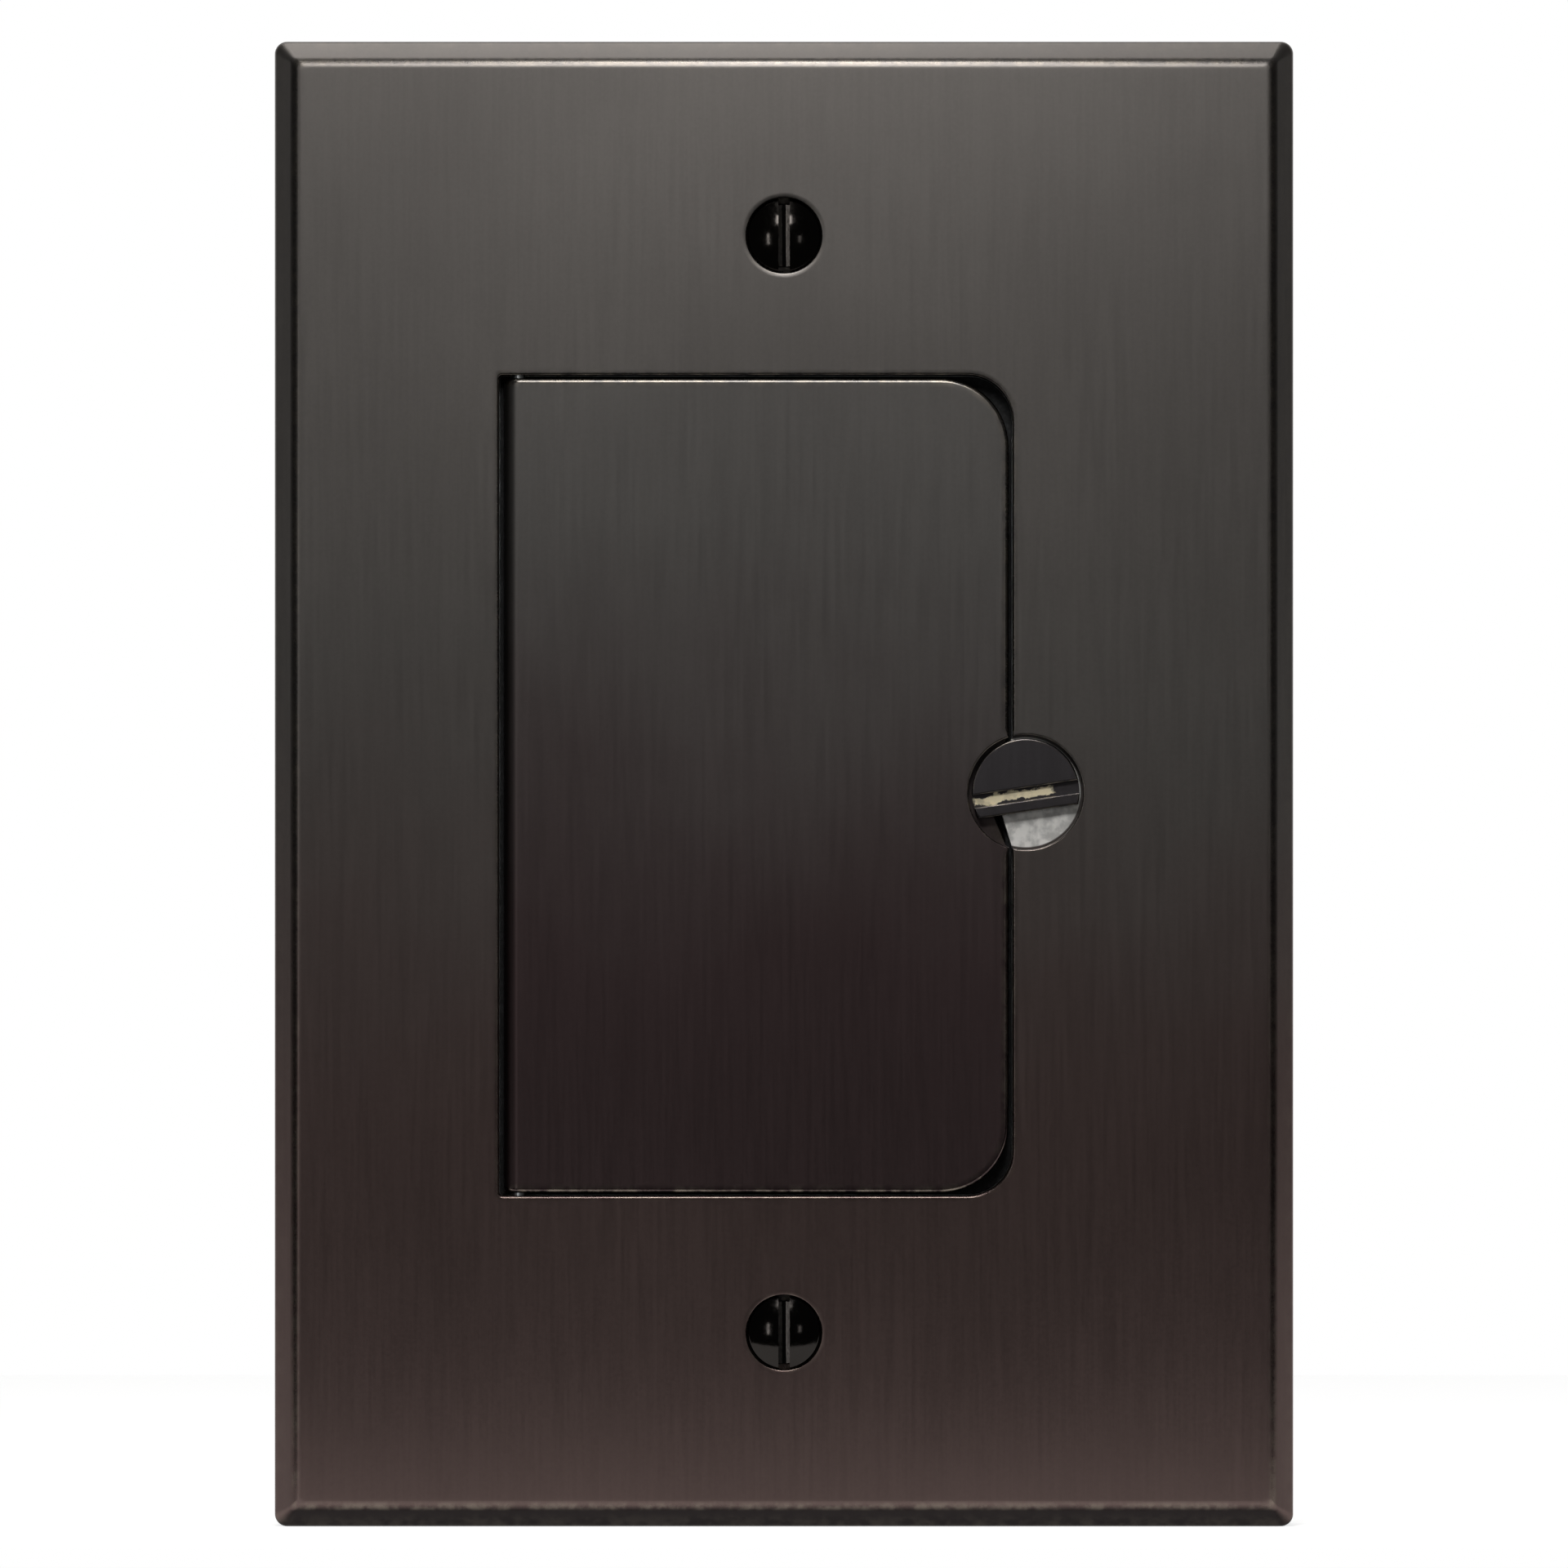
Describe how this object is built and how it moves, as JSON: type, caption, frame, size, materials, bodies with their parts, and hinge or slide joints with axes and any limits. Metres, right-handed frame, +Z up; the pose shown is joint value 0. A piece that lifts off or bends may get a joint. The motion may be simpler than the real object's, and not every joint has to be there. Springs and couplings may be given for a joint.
{
  "type": "hinged door wall plate cover",
  "caption": "Bevelled metal wall plate with a hinged door over a rectangular device window, closed by a slotted quarter-turn latch.",
  "frame": {"origin": "middle of the plate on the wall plane, midway between the two cover screws", "axes": "+X to the right of someone facing the plate, +Z up, +Y into the wall; the front face looks along -Y"},
  "size_m": [0.09, 0.0261, 0.1312],
  "materials": {
    "dark_bronze": "brass, vertically brushed and darkened to satin oil-rubbed bronze",
    "latch_bronze": "brass, darkened, with bare metal scratched through in the slot",
    "blacked_steel": "glossy black-oxide steel",
    "zinc_steel": "bright zinc plate",
    "spring_steel": "oiled spring steel",
    "brass": "bare brass",
    "black_foam": "closed-cell foam",
    "red_fibre": "vulcanised fibre"
  },
  "bodies": {
    "frame": {"face_plate": "dark_bronze", "hinge_pin": "zinc_steel", "hinge_keeper_upper": "brass", "hinge_keeper_lower": "brass", "door_seal": "black_foam", "inner_plate": "zinc_steel", "inner_plate_screw_upper_left": "zinc_steel", "inner_plate_screw_upper_right": "zinc_steel", "inner_plate_screw_lower_left": "zinc_steel", "inner_plate_screw_lower_right": "zinc_steel", "wall_gasket": "black_foam", "plate_screw_upper": "blacked_steel", "plate_screw_lower": "blacked_steel", "screw_retainer_upper": "red_fibre", "screw_retainer_lower": "red_fibre", "latch_washer": "zinc_steel", "latch_wave_washer": "spring_steel"},
    "door": {"door": "dark_bronze"},
    "latch": {"latch_button": "latch_bronze", "latch_retaining_ring": "spring_steel"}
  },
  "joints": [
    {"name": "door_hinge", "type": "hinge", "parent": "frame", "child": "door", "pos_m": [-0.02341, -0.0082, -0.00014], "axis": [0, 0, -1], "range_deg": [0, 100]},
    {"name": "latch_turn", "type": "hinge", "parent": "frame", "child": "latch", "pos_m": [0.02134, -0.009, -0.00074], "axis": [0, 1, 0], "continuous": true}
  ]
}
